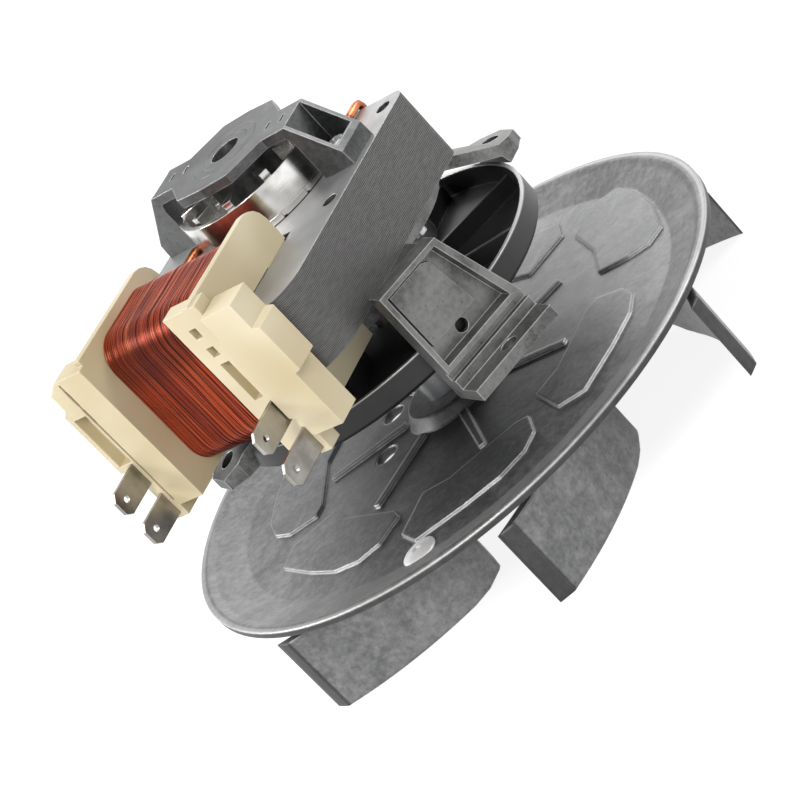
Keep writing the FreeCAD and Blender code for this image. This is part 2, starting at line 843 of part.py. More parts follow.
def make_box_leg(body, s, top):
    """One leg: an arm, a box open to the outside with a raised panel, a sill and a foot."""
    crest = top + d.leg_rise
    arm = new_sketch(body, "XY", top - d.spider_thick)
    oblong(arm, s * (spider_radius - 3), s * (leg_in + 1), -s * (d.leg_near - 3), s * d.leg_far)
    pad(body, arm, d.spider_thick)
    box = new_sketch(body, "YZ", s * leg_in)
    outline(box, [
        (-s * d.leg_near, 0), (-s * d.leg_near, crest), (s * d.leg_far, crest),
        (s * d.leg_foot, d.sill_low + 1), (s * d.leg_foot, 0)])
    pad(body, box, d.leg_deep, down=s < 0)
    wall = d.leg_wall
    hollow = new_sketch(body, "YZ", s * (leg_in + wall))
    outline(hollow, [
        (-s * (d.leg_near - wall), d.sill_high), (-s * (d.leg_near - wall), crest - wall),
        (s * (d.leg_far - wall), crest - wall), (s * (d.leg_foot - wall * 2.2), d.sill_high)])
    pocket(body, hollow, d.leg_deep, up=s > 0)
    sill = new_sketch(body, "YZ", s * (leg_out - d.sill_deep))
    oblong(sill, -s * (d.leg_near + 1), s * (d.leg_foot + 1), d.sill_low, d.sill_high - 1.4)
    pocket(body, sill, d.sill_deep + 1, up=s > 0)
    panel = new_sketch(body, "YZ", s * (leg_in + wall - 0.1))
    low = d.panel_low
    high = crest - wall - 1.2
    near = -s * (d.leg_near - wall - 1.4)
    outline(panel, [
        (near, low), (near, high), (s * (d.leg_far - 5.2), high),
        (s * (d.leg_far - 3.4), high - 1.2), (s * (d.leg_far - 1.6), low)])
    pad(body, panel, d.panel_rise + 0.1, down=s < 0)
    foot = new_sketch(body, "XY")
    oblong(foot, s * leg_in, s * (leg_out + d.foot_out), -s * d.leg_near, s * d.leg_foot)
    pad(body, foot, d.foot_thick)
    bolt = new_sketch(body, "XY")
    ring(bolt, s * (leg_in + d.foot_bolt), 0, d.foot_hole / 2)
    pocket(body, bolt, d.foot_thick, up=True)
    drill = new_sketch(body, "YZ", s * leg_in)
    ring(drill, -s * 2.7, d.sill_high + 2.2, d.drill_dia / 2)
    pocket(body, drill, wall + 1, up=s > 0)


def make_ear_arm(body, s, root):
    """A broad arm from the cup that slopes down past the fan rim and narrows to an ear."""
    arm = new_sketch(body, "YZ")
    start = cup_radius - 1
    outline(arm, [
        (s * start, root), (s * start, root - d.spider_thick),
        (s * (cup_radius + 6), root - d.spider_thick), (s * (leg_in - 0.4), fan_rim + 0.8),
        (s * (leg_in + 0.4), d.ear_low), (s * ear_out, d.ear_low),
        (s * ear_out, d.ear_low + d.foot_thick), (s * (leg_in + 1), fan_rim + 3.2),
        (s * (cup_radius + 7), root)])
    pad(body, arm, d.ear_half * 2, middle=True)
    trim = new_sketch(body, "XY", root + 1)
    wide = s * (d.ear_half + 1)
    far = s * (ear_out + 1)
    root_y = s * (cup_radius + 8)
    tip_x = -s * (d.ear_side - 3.2)
    outline(trim, [
        (s * d.ear_half, root_y), (s * (d.ear_half - 2.5), s * (leg_in - 6.7)),
        (-s * (d.ear_side - 6.2), s * (ear_bolt + 1.6)), (tip_x, s * (ear_bolt + 4.4)),
        (tip_x, far), (wide, far), (wide, root_y)])
    root_y = s * (cup_radius + 11)
    tip_x = -s * (d.ear_side + 3.6)
    outline(trim, [
        (-wide, root_y), (-s * d.ear_half, root_y),
        (-s * (d.ear_side + 6.2), s * (ear_bolt + 0.6)), (tip_x, s * (ear_bolt + 4.2)),
        (tip_x, far), (-wide, far)])
    pocket(body, trim, root + 1)
    hole = new_sketch(body, "XY", d.ear_low)
    ring(hole, -s * d.ear_side, s * ear_bolt, d.foot_hole / 2)
    pocket(body, hole, d.foot_thick + 4, up=True)


def make_cooling_fan():
    """Pressed fan dish with a turned-up rim, hub and standing blades."""
    body = new_body("cooling_fan")
    r = fan_radius
    bore = d.rotor_bore / 2
    deep = d.fan_low - d.fan_hub_deep
    sketch = new_sketch(body, "XZ")
    outline(sketch, [
        (bore, deep), (d.fan_hub, deep), (d.fan_hub, d.fan_low),
        (r - 1, d.fan_low), (r, d.fan_low + 1), (r, fan_rim), (r - d.fan_wall, fan_rim),
        (r - d.fan_wall, d.fan_low + d.fan_wall), (bore, d.fan_low + d.fan_wall)])
    turned(body, sketch)
    blade = new_sketch(body, "XY", d.fan_low + d.fan_wall / 2)
    outline(blade, [
        (d.fan_blade_in, 0), (d.fan_blade_in + 0.6, -0.8), (r - 2.5, d.fan_lean),
        (r - 2.5, d.fan_lean + 1)])
    blades = pad(body, blade, d.fan_high - 1.6)
    around(body, [blades], blade, d.fan_blades)


def make_impeller():
    """Die-cast wheel: a dished disc with a rim lip, hub, pads, ribs and seven blades."""
    body = new_body("impeller", turn=d.blade_turn)
    r = wheel_radius
    top = d.imp_rim_top
    low = top - d.imp_dish
    under = low - d.imp_wall
    hub = d.hub_dia / 2
    bore = d.rotor_bore / 2
    sketch = new_sketch(body, "XZ")
    outline(sketch, [
        (bore, d.hub_low), (hub, d.hub_low), (hub + 1.5, under),
        (r - 12, under), (r - 3, top - d.imp_wall - 0.4), (r + 0.5, top - d.imp_wall + 0.4),
        (r + 0.5, top), (r - 2, top), (r - 3.6, top - 0.8), (r - 12, low), (hub + 2, low),
        (hub, low + d.hub_rise), (bore, low + d.hub_rise)])
    turned(body, sketch)
    blade = new_sketch(body, "XY", d.imp_tip)
    nx = cosine(d.blade_lean) * (d.blade_wall / 2)
    ny = sine(d.blade_lean) * (d.blade_wall / 2)
    tip_x = r + 1
    tip_y = as_size(-1.4)
    inner = r - d.blade_long
    end_x = inner * cosine(d.blade_sweep)
    end_y = inner * sine(d.blade_sweep)
    bowed(blade, [
        (tip_x + nx, tip_y + ny), (end_x + nx, end_y + ny),
        (end_x - nx, end_y - ny), (tip_x - nx, tip_y - ny)], d.blade_bow)
    blades = pad(body, blade, under + 1 - d.imp_tip)
    around(body, [blades], blade, d.blade_count)
    rim = new_sketch(body, "XZ")
    outline(rim, [(r, d.imp_tip - 1), (r + 5, d.imp_tip - 1), (r + 5, top + 1), (r, top + 1)])
    turned(body, rim, "Groove")
    curl = new_sketch(body, "XZ")
    start = inner - 0.5
    arc = []
    for k in range(5):
        t = math.radians(22.5 * k)
        arc.append((start + d.blade_curl * (1 - math.cos(t)),
                    d.imp_tip + d.blade_curl * (1 - math.sin(t))))
    outline(curl, [
        (start - 6, d.imp_tip - 1), (start + d.blade_curl, d.imp_tip - 1)]
        + arc[::-1] + [(start, under - 4), (start - 6, under - 4)])
    turned(body, curl, "Groove")
    vents = new_sketch(body, "XY", low)
    for angle in (176, 225, 31):
        x, y = spun(d.vent_circle / 2, as_size(0), angle - d.blade_turn)
        ring(vents, x, y, d.vent_dia / 2)
    pocket(body, vents, d.imp_wall)
    rib = new_sketch(body, "XY", low - 0.2)
    reach = hub + d.rib_long
    outline(rib, [spun(x, y, d.rib_turn) for x, y in (
        (hub + 2.6, -1.1), (reach, -0.8), (reach, 0.8), (hub + 2.6, 1.1))])
    ribs = pad(body, rib, d.rib_high + 0.2)
    around(body, [ribs], rib, d.blade_count)
    wide_pad = [(25.4, 66.6), (15.6, 69.4), (9.6, 65.4), (10.2, 56.9), (11.7, 45.3),
                (13.5, 31.7), (17.5, 28.2), (23.4, 29.1), (31.3, 33.5), (28.7, 49.1)]
    low_pad = [(36.7, -25), (35.8, -13.6), (35, 14.3), (32.4, 18), (24.7, 14.5),
               (21, 9.2), (19.6, 1.4), (19.8, -9.2), (18.7, -23.1), (24, -28.6)]
    first = new_sketch(body, "XY", low - 0.2)
    outline(first, [spun(r - back, as_size(0), angle - d.blade_turn) for back, angle in wide_pad])
    pad(body, first, d.pad_high + 0.2)
    raised = new_sketch(body, "XY", low - 0.2)
    outline(raised, [spun(r - back, as_size(0), angle - d.blade_turn) for back, angle in low_pad])
    pads = pad(body, raised, d.pad_high + 0.2)
    pattern = around(body, [pads], raised, d.blade_count - 1)
    pattern.Angle = 360 * 5 / 7
    bind(pattern, "Angle", 360 * (d.blade_count - 2) / d.blade_count)
    pattern.Reversed = True
    doc.recompute()


def bowed(sketch, corners, radius):
    """Four corners whose two long sides are arcs of one radius, both bulging one way."""
    start = sketch.GeometryCount
    for k in (0, 2):
        a = flat(*corners[k])
        b = flat(*corners[k + 1])
        chord = b - a
        half = chord.Length / 2
        sag = radius.value - math.sqrt(radius.value ** 2 - half ** 2)
        across = FreeCAD.Vector(-chord.y, chord.x, 0).normalize()
        middle = (a + b) * 0.5 + across * (-sag if k == 0 else sag)
        sketch.addGeometry(Part.Arc(a, middle, b) if k == 0 else Part.Arc(b, middle, a))
        after = flat(*corners[(k + 2) % 4])
        sketch.addGeometry(Part.LineSegment(b, after))
    for k in (0, 2):
        arc = start + k
        first, last = (1, 2) if k == 0 else (2, 1)
        before = start + (k + 3) % 4
        sketch.addConstraint(Sketcher.Constraint("Coincident", arc, last, arc + 1, 1))
        sketch.addConstraint(Sketcher.Constraint("Coincident", before, 2, arc, first))
        pin(sketch, arc, first, *corners[k])
        pin(sketch, arc, last, *corners[k + 1])
        index = sketch.addConstraint(Sketcher.Constraint("Radius", arc, radius.value))
        sketch.setExpression("Constraints[%d]" % index, radius.text)


def make_collar(label, low, high, outer):
    """A turned ring on the shaft."""
    body = new_body(label, place=(0, 0, low))
    sketch = new_sketch(body, "XY")
    ring(sketch, 0, 0, outer)
    ring(sketch, 0, 0, d.rotor_bore / 2)
    pad(body, sketch, high - low)


def make_nut():
    """Hexagon nut that holds the impeller on the shaft."""
    body = new_body("impeller_nut", place=(0, 0, d.hub_low - d.washer_wall - d.nut_high))
    sketch = new_sketch(body, "XY")
    across = d.nut_flats / 2
    corner = across * (2 / math.sqrt(3))
    outline(sketch, [
        (corner, 0), (corner / 2, across), (-corner / 2, across), (-corner, 0),
        (-corner / 2, -across), (corner / 2, -across)])
    ring(sketch, 0, 0, d.rotor_bore / 2)
    pad(body, sketch, d.nut_high)


make_shaft()
make_rotor_core()
make_rotor_cage()
make_stack()
make_core()
make_bobbin()
make_coil()
make_tabs()
make_shading_rings()
make_rear_bracket()
make_bearing("rear_bearing", rear_ball)
make_bearing("front_bearing", front_ball)
make_retainer("rear_retainer", plate_low - d.boss_deep - d.retainer_wall)
make_retainer("front_retainer", cup_floor + d.boss_rise)
make_screws()
make_front_bracket()
make_cooling_fan()
make_impeller()
thrust = d.ball_length / 2 + d.washer_gap
make_collar("rear_thrust_washer", core_high, rear_ball - thrust, d.washer_dia / 2)
make_collar("front_thrust_washer", front_ball + thrust, core_low, d.washer_dia / 2)
hub_top = d.imp_rim_top - d.imp_dish + d.hub_rise
make_collar("fan_spacer", hub_top, d.fan_low - d.fan_hub_deep, d.washer_dia / 2)
make_collar("impeller_washer", d.hub_low - d.washer_wall, d.hub_low, d.washer_dia / 2 + 1)
make_nut()
doc.recompute()

for thing in doc.Objects:
    if "Invalid" in thing.State or "Error" in thing.State:
        raise ValueError("%s failed: %s" % (thing.Name, thing.State))
for thing in parts:
    if thing.Shape.isNull() or not thing.Shape.isValid():
        raise ValueError("%s has no valid shape" % thing.Label)

os.makedirs("parts", exist_ok=True)
for thing in parts:
    thing.Shape.exportStep("parts/%s.step" % thing.Label)
    print(thing.Label, len(thing.Shape.Solids), round(thing.Shape.Volume, 1))
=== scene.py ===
import math

import bpy
import numpy as np
from mathutils import Matrix, Vector


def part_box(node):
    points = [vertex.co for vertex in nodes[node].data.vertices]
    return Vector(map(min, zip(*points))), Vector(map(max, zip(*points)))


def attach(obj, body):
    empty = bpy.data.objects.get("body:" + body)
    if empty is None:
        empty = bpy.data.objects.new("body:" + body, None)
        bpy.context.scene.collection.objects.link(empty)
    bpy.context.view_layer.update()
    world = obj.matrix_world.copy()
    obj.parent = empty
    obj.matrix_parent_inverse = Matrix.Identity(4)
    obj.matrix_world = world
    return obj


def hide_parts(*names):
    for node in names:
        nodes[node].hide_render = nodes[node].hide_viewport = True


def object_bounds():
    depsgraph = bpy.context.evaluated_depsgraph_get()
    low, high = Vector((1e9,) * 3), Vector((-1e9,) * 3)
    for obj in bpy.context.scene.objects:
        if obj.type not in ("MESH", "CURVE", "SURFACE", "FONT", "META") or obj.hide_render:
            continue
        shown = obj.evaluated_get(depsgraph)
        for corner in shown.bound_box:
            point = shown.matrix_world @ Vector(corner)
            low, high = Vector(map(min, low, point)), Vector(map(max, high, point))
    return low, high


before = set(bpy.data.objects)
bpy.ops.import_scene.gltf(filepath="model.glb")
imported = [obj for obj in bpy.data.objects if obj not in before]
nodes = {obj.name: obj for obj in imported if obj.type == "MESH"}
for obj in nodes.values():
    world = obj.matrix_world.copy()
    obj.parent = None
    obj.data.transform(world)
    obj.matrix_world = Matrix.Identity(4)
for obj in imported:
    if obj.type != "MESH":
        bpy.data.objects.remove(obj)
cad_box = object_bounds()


# Rotor core and its cast cage.
# Punched sheet steel packed on the shaft, with aluminium cast into its closed slots.
# The outside is turned to size and bright, with the fine lines of the lathe round it.

class Wire:
    """A socket in a material. Sums, products and powers of wires add Math nodes."""

    def __init__(self, tree, socket=None):
        self.tree = tree
        self.socket = socket

    def node(self, kind, settings=None, values=None, out=0):
        """Adds a node of any kind: its settings first, then its sockets' values or links."""
        made = self.tree.nodes.new(kind)
        for name, value in (settings or {}).items():
            setattr(made, name, value)
        for name, value in (values or {}).items():
            if isinstance(value, Wire):
                self.tree.links.new(value.socket, made.inputs[name])
            else:
                made.inputs[name].default_value = value
        return Wire(self.tree, made.outputs[out])

    def math(self, operation, *others):
        """A Math node with this wire first."""
        return self.node("ShaderNodeMath", {"operation": operation},
                         dict(enumerate((self, *others))))

    def __add__(self, other):
        return self.math("ADD", other)

    __radd__ = __add__

    def __mul__(self, other):
        return self.math("MULTIPLY", other)

    __rmul__ = __mul__

    def __sub__(self, other):
        return self.math("SUBTRACT", other)

    def __rsub__(self, other):
        return self.node("ShaderNodeMath", {"operation": "SUBTRACT"}, {0: other, 1: self})

    def __pow__(self, other):
        return self.math("POWER", other)

    def clamped(self):
        """The wire held between 0 and 1."""
        return self.node("ShaderNodeClamp", None, {"Value": self})

    def step(self, low, high):
        """0 below low, 1 above high and smooth between them."""
        return self.node("ShaderNodeMapRange", {"interpolation_type": "SMOOTHSTEP"},
                         {"Value": self, "From Min": low, "From Max": high})


def colour_mix(mask, under, over):
    """The colour under where the mask is 0, and over where it is 1."""
    return mask.node("ShaderNodeMix", {"data_type": "RGBA"},
                     {0: mask, 6: under, 7: over}, out=2)


def rgb(red, green, blue):
    """A colour with its alpha."""
    return (red, green, blue, 1.0)


class Finish:
    """A material under construction, with the textures that its finish is made of."""

    def __init__(self, name, **fixed):
        self.material = bpy.data.materials.new(name)
        self.material.use_nodes = True
        self.tree = self.material.node_tree
        self.shader = self.tree.nodes["Principled BSDF"]
        for socket, value in fixed.items():
            self.shader.inputs[socket.replace("_", " ").title()].default_value = value
        self.start = Wire(self.tree)
        self.place = self.start.node("ShaderNodeTexCoord", out="Object")

    def axis(self, letter):
        """One coordinate of the place, in metres."""
        return self.start.node("ShaderNodeSeparateXYZ", None, {0: self.place},
                               out="XYZ".index(letter))

    def from_axis(self, x=0.0, y=0.0):
        """Metres from a line along Z through x and y: the root of the sum of both squares."""
        return ((self.axis("X") - x) ** 2 + (self.axis("Y") - y) ** 2) ** 0.5

    def noise(self, size, detail=3.0, rough=0.5, stretch=None, lumps=0.0):
        """Cloudy noise whose blotches are about size metres wide.

        A stretch below 1 along X, Y or Z draws them out that way, and lumps bend them.
        """
        place = self.place
        if stretch:
            place = self.start.node("ShaderNodeMapping", None, {"Vector": place, "Scale": stretch})
        return self.start.node("ShaderNodeTexNoise", None, {
            "Vector": place, "Scale": 0.5 / size, "Detail": detail, "Roughness": rough,
            "Distortion": lumps})

    def pits(self, size):
        """Distance from the middles of cells about size metres wide."""
        return self.start.node("ShaderNodeTexVoronoi", None, {
            "Vector": self.place, "Scale": 1.0 / size})

    def edges(self, radius):
        """1 on the edges that a radius in metres would round off, 0 on the flats.

        It is four times what the dot product of the rounded and the flat normal lacks of 1.
        """
        bent = self.start.node("ShaderNodeBevel", {"samples": 6}, {"Radius": radius})
        flat = self.start.node("ShaderNodeNewGeometry", out="Normal")
        alike = self.start.node("ShaderNodeVectorMath", {"operation": "DOT_PRODUCT"},
                                {0: bent, 1: flat}, out="Value")
        return ((1 - alike) * 4).clamped()

    def bump(self, height, depth, strength, soft=0.0003):
        """A bump of depth metres from a height between 0 and 1, over edges rounded by soft."""
        rounded = self.start.node("ShaderNodeBevel", {"samples": 6}, {"Radius": soft})
        self.shader_link("Normal", self.start.node("ShaderNodeBump", None, {
            "Height": height, "Distance": depth, "Strength": strength, "Normal": rounded}))

    def shader_link(self, socket, wire):
        """Feeds one socket of the shader."""
        self.tree.links.new(wire.socket, self.shader.inputs[socket])

    def on(self, *names):
        """Puts the finish on CAD nodes."""
        for name in names:
            for slot in nodes[name].material_slots:
                slot.material = self.material


turned = Finish("turned_rotor", metallic=1.0)
rings = turned.noise(0.0006, detail=4, stretch=(0.05, 0.05, 1.0))
smears = turned.noise(0.009, detail=2)
turned.shader_link("Base Color", colour_mix(
    (rings * 0.5 + smears * 0.5).step(0.3, 0.7), rgb(0.52, 0.49, 0.46), rgb(0.86, 0.84, 0.82)))
turned.shader_link("Roughness", rings * 0.16 + 0.1)
turned.bump(rings, 0.00002, 0.5)
turned.on("rotor_core")

cage = Finish("cast_cage", metallic=1.0)
flow = cage.noise(0.004, detail=4)
cage.shader_link("Base Color", colour_mix(
    flow.step(0.35, 0.65), rgb(0.6, 0.59, 0.57), rgb(0.9, 0.89, 0.87)))
cage.shader_link("Roughness", flow * 0.2 + 0.1)
cage.bump(cage.noise(0.0005, detail=5, stretch=(0.1, 0.1, 1.0)), 0.00002, 0.5)
cage.on("rotor_cage")


# Shaft, washers, spacer, nut, retainers, screws and bearings.
# Ground or plated steel, turned or pressed, with the fine lines of turning round it. The screws
# are plated with zinc. The bearings are balls of sintered bronze with open pores.

steel = Finish("plated_steel", metallic=1.0)
lines = steel.noise(0.0004, detail=3, stretch=(0.1, 0.1, 1.0))
cloud = steel.noise(0.006, detail=2)
steel.shader_link("Base Color", colour_mix(
    cloud.step(0.35, 0.65), rgb(0.46, 0.47, 0.48), rgb(0.66, 0.67, 0.68)))
steel.shader_link("Roughness", lines * 0.2 + 0.2)
steel.bump(lines, 0.00001, 0.5)
steel.on("shaft", "rear_retainer", "front_retainer", "rear_thrust_washer",
         "front_thrust_washer", "fan_spacer", "impeller_washer", "impeller_nut")

zinc = Finish("zinc_screw", metallic=0.6)
film = zinc.noise(0.002, detail=3)
zinc.shader_link("Base Color", colour_mix(film, rgb(0.6, 0.61, 0.63), rgb(0.85, 0.86, 0.87)))
zinc.shader_link("Roughness", film * 0.2 + 0.2)
zinc.bump(film, 0.00002, 0.5)
zinc.on("screw_right", "screw_left")

bronze = Finish("sintered_bronze", metallic=1.0)
pores = bronze.pits(0.0005)
bronze.shader_link("Base Color", colour_mix(
    pores.step(0.1, 0.5), rgb(0.2, 0.12, 0.05), rgb(0.6, 0.42, 0.22)))
bronze.shader_link("Roughness", pores * 0.3 + 0.3)
bronze.bump(pores, 0.00003, 0.6)
bronze.on("rear_bearing", "front_bearing")


# Stator laminations and the coil core.
# Sheets of silicon steel 0.4 mm thick, stacked along Z and pressed together.
# Their cut edges show as fine lines; the outermost sheet is a smooth grey face.

sheet_pitch = 0.0004
laminated = Finish("laminated_steel", metallic=0.85)
level = laminated.axis("Z") * (2 * math.pi / sheet_pitch)
seam = level.math("SINE") * 0.5 + 0.5
burr = laminated.noise(0.0012, detail=4, stretch=(1, 1, 6))
stain = laminated.noise(0.012, detail=3)
facing = laminated.start.node("ShaderNodeSeparateXYZ", None, {
    0: laminated.start.node("ShaderNodeNewGeometry", out="Normal")}, out=2).math("ABSOLUTE")
side = 1 - facing.step(0.5, 0.9)
# Partly painted light: the side walls are painted much darker than the faces across Z, partly the
# cut edges' own darker look and partly painted shade.
wall_shade = colour_mix((seam * 0.5 + burr * 0.6).step(0.2, 0.9),
                        rgb(0.055, 0.054, 0.053), rgb(0.19, 0.188, 0.185))
face_shade = colour_mix(stain.step(0.3, 0.7), rgb(0.32, 0.32, 0.32), rgb(0.5, 0.5, 0.5))
shade = colour_mix(side, face_shade, wall_shade)
# Painted highlight: every edge is painted lighter.
shade = colour_mix(laminated.edges(0.0005) * 0.5, shade, rgb(0.6, 0.6, 0.6))
laminated.shader_link("Base Color", shade)
laminated.shader_link("Roughness", burr * 0.2 + 0.36)
laminated.bump(seam * side + burr * 0.4, 0.00006, 0.7)
laminated.on("stator_stack", "coil_core")


# Bobbin with its two terminal blocks.
# One moulding of glass-filled plastic in a cream colour, slightly translucent, with satin
# faces. It sits on the coil core and carries the winding and the terminals.

moulded = Finish("cream_bobbin", roughness=0.42, subsurface_weight=0.08)
moulded.shader.inputs["Subsurface Radius"].default_value = (0.004, 0.002, 0.001)
warm = moulded.noise(0.014, detail=2)
speck = moulded.noise(0.0007, detail=3)
tint = colour_mix(warm.step(0.3, 0.7), rgb(0.55, 0.46, 0.28), rgb(0.68, 0.60, 0.42))
# Painted highlight: the edges are painted lighter.
tint = colour_mix(moulded.edges(0.0006) * 0.6, tint, rgb(0.78, 0.72, 0.56))
moulded.shader_link("Base Color", tint)
moulded.bump(speck, 0.00004, 0.5)
moulded.on("bobbin")


# Coil.
# Enamelled copper wire wound in layers on the bobbin. The turns lie side by side round the
# core and wander a little, so the outside is ribbed with loose turns here and there.

coil_low, coil_high = (np.array(v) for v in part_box("coil_winding"))
coil_corner = 0.007      # radius of its outer corners
coil_shell = 0.0052      # from its outside to its inner wall
wire_pitch = 0.00046
wire_slack = 0.00012     # room for the turns that stand out
wire_crown = 0.9         # how round a turn is, 1 where two turns meet in a sharp groove
turn_rise = 0.00009
turn_wander = 0.00007
turn_spread = 0.00005
tight_turns = 3          # turns next to a flange that lie straight
points_a_turn = 6
steps_round = 168


def rounded_loop(low, high, corner, count):
    """A rectangle with round corners, walked at an even pace.

    Each side is a straight run and each corner a quarter circle. The point at distance s is
    found by linear interpolation along a dense run of the loop's corner arcs. Each row holds
    a point and the direction out of the loop there. The share of the way round comes with it.
    """
    arc_points = 40
    arcs = []
    for middle_y, middle_z, start in (
            (high[0] - corner, high[1] - corner, 0.0),
            (low[0] + corner, high[1] - corner, 0.5 * math.pi),
            (low[0] + corner, low[1] + corner, math.pi),
            (high[0] - corner, low[1] + corner, 1.5 * math.pi)):
        turn = start + np.linspace(0, 0.5 * math.pi, arc_points)
        arcs.append(np.stack([middle_y + corner * np.cos(turn),
                              middle_z + corner * np.sin(turn),
                              np.cos(turn), np.sin(turn)], axis=1))
    dense = np.concatenate(arcs + [arcs[0][:1]])
    runs = np.linalg.norm(np.diff(dense[:, :2], axis=0), axis=1)
    walked = np.concatenate([[0], np.cumsum(runs)])
    s = np.linspace(0, walked[-1], count, endpoint=False)
    loop = np.stack([np.interp(s, walked, dense[:, k]) for k in range(4)], axis=1)
    loop[:, 2:] /= np.linalg.norm(loop[:, 2:], axis=1)[:, None]
    return loop, s / walked[-1]


def grid_mesh(name, points):
    """A closed surface from a grid of points, joined to its start along u and along v.

    Its faces point along the step in u crossed with the step in v.
    """
    rows, columns = points.shape[:2]
    index = np.arange(rows * columns).reshape(rows, columns)
    next_u = np.roll(index, -1, axis=0)
    next_v = np.roll(index, -1, axis=1)
    quads = np.stack([index, next_u, np.roll(next_u, -1, axis=1), next_v], axis=-1)
    quads = quads.reshape(-1, 4)
    mesh = bpy.data.meshes.new(name)
    mesh.vertices.add(rows * columns)
    mesh.vertices.foreach_set("co", points.reshape(-1).astype(np.float32))
    mesh.loops.add(quads.size)
    mesh.loops.foreach_set("vertex_index", quads.reshape(-1).astype(np.int32))
    mesh.polygons.add(len(quads))
    mesh.polygons.foreach_set("loop_start", np.arange(0, quads.size, 4, dtype=np.int32))
    mesh.polygons.foreach_set("use_smooth", np.ones(len(quads), dtype=bool))
    mesh.update(calc_edges=True)
    mesh.validate()
    piece = bpy.data.objects.new(name, mesh)
    bpy.context.scene.collection.objects.link(piece)
    return piece


def waves(rng, place, count, low, high):
    """The sum of count sines over the root of count, about 1 high.

    Each goes a whole number of times round, from low to below high, from a phase of its own.
    """
    pace = rng.integers(low, high, count)
    phase = rng.uniform(0, 2 * math.pi, count)
    total = sum(np.sin(2 * math.pi * p * place + q) for p, q in zip(pace, phase))
    return total / math.sqrt(count)


# Round the coil a point lies on the loop, moved along the direction out of it by its turn's
# round height and lift less the inset. Along X it has its place in the turn and the turn's shift.
rng = np.random.default_rng(7)
loop, around = rounded_loop(coil_low[1:], coil_high[1:], coil_corner, steps_round)
turns = int((coil_high[0] - coil_low[0]) / wire_pitch)
pitch = (coil_high[0] - coil_low[0]) / turns
inset = 0.5 * pitch + wire_slack
turn_of = np.repeat(np.arange(turns), points_a_turn)
within = np.tile((np.arange(points_a_turn) + 0.5) / points_a_turn * 2 - 1, turns)
x_flat = coil_low[0] + (turn_of + 0.5 + 0.5 * within) * pitch
dome = np.sqrt(1 - wire_crown * within ** 2)
height = dome * 0.5 * pitch
turn_lift = np.zeros((steps_round, turns))
turn_shift = np.zeros((steps_round, turns))
for turn in range(turns):
    turn_lift[:, turn] = turn_rise * waves(rng, around, 3, 1, 6) + rng.normal(0, turn_spread)
    turn_shift[:, turn] = turn_wander * waves(rng, around, 2, 1, 4)
from_flange = np.minimum(np.arange(turns), turns - 1 - np.arange(turns))
edge_fade = np.clip(from_flange / tight_turns, 0, 1)
outer = height[None, :] + (turn_lift * edge_fade)[:, turn_of] - inset
across = x_flat[None, :] + (turn_shift * edge_fade)[:, turn_of]

# Two more columns at each end make its flat face, from the inner wall out to the wire.
rim = np.ones((steps_round, 2))
across = np.concatenate([rim * coil_low[0], across, rim * coil_high[0]], axis=1)
outer = np.concatenate([rim * (-coil_shell, -inset), outer, rim * (-inset, -coil_shell)], axis=1)
outer = np.minimum(outer, 0)
coil_points = np.stack([across, loop[:, None, 0] + outer * loop[:, None, 2],
                        loop[:, None, 1] + outer * loop[:, None, 3]], axis=-1)
coil = grid_mesh("wound_coil", coil_points)
tone = np.concatenate([[0.5, 0.5], rng.uniform(0, 1, turns)[turn_of], [0.5, 0.5]])
crest = np.concatenate([[0, 0], dome, [0, 0]])
for name, value in (("tone", tone), ("crest", crest)):
    layer = coil.data.attributes.new(name, "FLOAT", "POINT")
    layer.data.foreach_set("value", np.tile(value, steps_round).astype(np.float32))

copper = Finish("enamelled_copper", metallic=0.75)
tone_wire = copper.start.node("ShaderNodeAttribute", {"attribute_name": "tone"}, out="Fac")
crest_wire = copper.start.node("ShaderNodeAttribute", {"attribute_name": "crest"}, out="Fac")
smear = copper.noise(0.008, detail=3)
strand = colour_mix((tone_wire * 0.6 + smear * 0.6).step(0.25, 0.95),
                    rgb(0.18, 0.014, 0.005), rgb(0.5, 0.075, 0.018))
# Painted sheen: light streaks along the turns, stronger on the top where the light falls.
sheen_streaks = copper.noise(0.0011, detail=2, stretch=(1.0, 0.1, 0.1))
coil_top, coil_front = coil_high[2], coil_low[1]
shoulder = coil_top - 0.009
on_top = copper.axis("Z").step(shoulder, coil_top - 0.001)
strand = colour_mix(sheen_streaks.step(0.55, 0.72) * (on_top * 0.3 + 0.1), strand, rgb(0.7, 0.25, 0.1))
# Painted shade: a dark band along the front just below the top's rounded shoulder.
front = 1 - copper.axis("Y").step(coil_front, coil_front + 0.006)
upper = copper.axis("Z").step(coil_top - 0.016, shoulder)
strand = colour_mix(front * upper * 0.6, strand, rgb(0.06, 0.008, 0.004))
# Painted shade: the grooves between the turns are darkened, and so are the flat ends.
strand = colour_mix(crest_wire.step(0.6, 0.86), rgb(0.03, 0.004, 0.002), strand)
copper.shader_link("Base Color", strand)
copper.shader_link("Roughness", smear * 0.2 + 0.2)
coil.data.materials.append(copper.material)
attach(coil, "stator")
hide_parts("coil_winding")


# Shading rings.
# Two closed loops of thick bare copper wire, bent round the pole tips and brazed shut. Heat has
# dulled them in patches. A circle is carried along each loop to make the wire.

ring_corner = 0.0011
ring_gap = 0.00002       # how much thinner than its CAD wire
steps_along = 72
points_round = 16

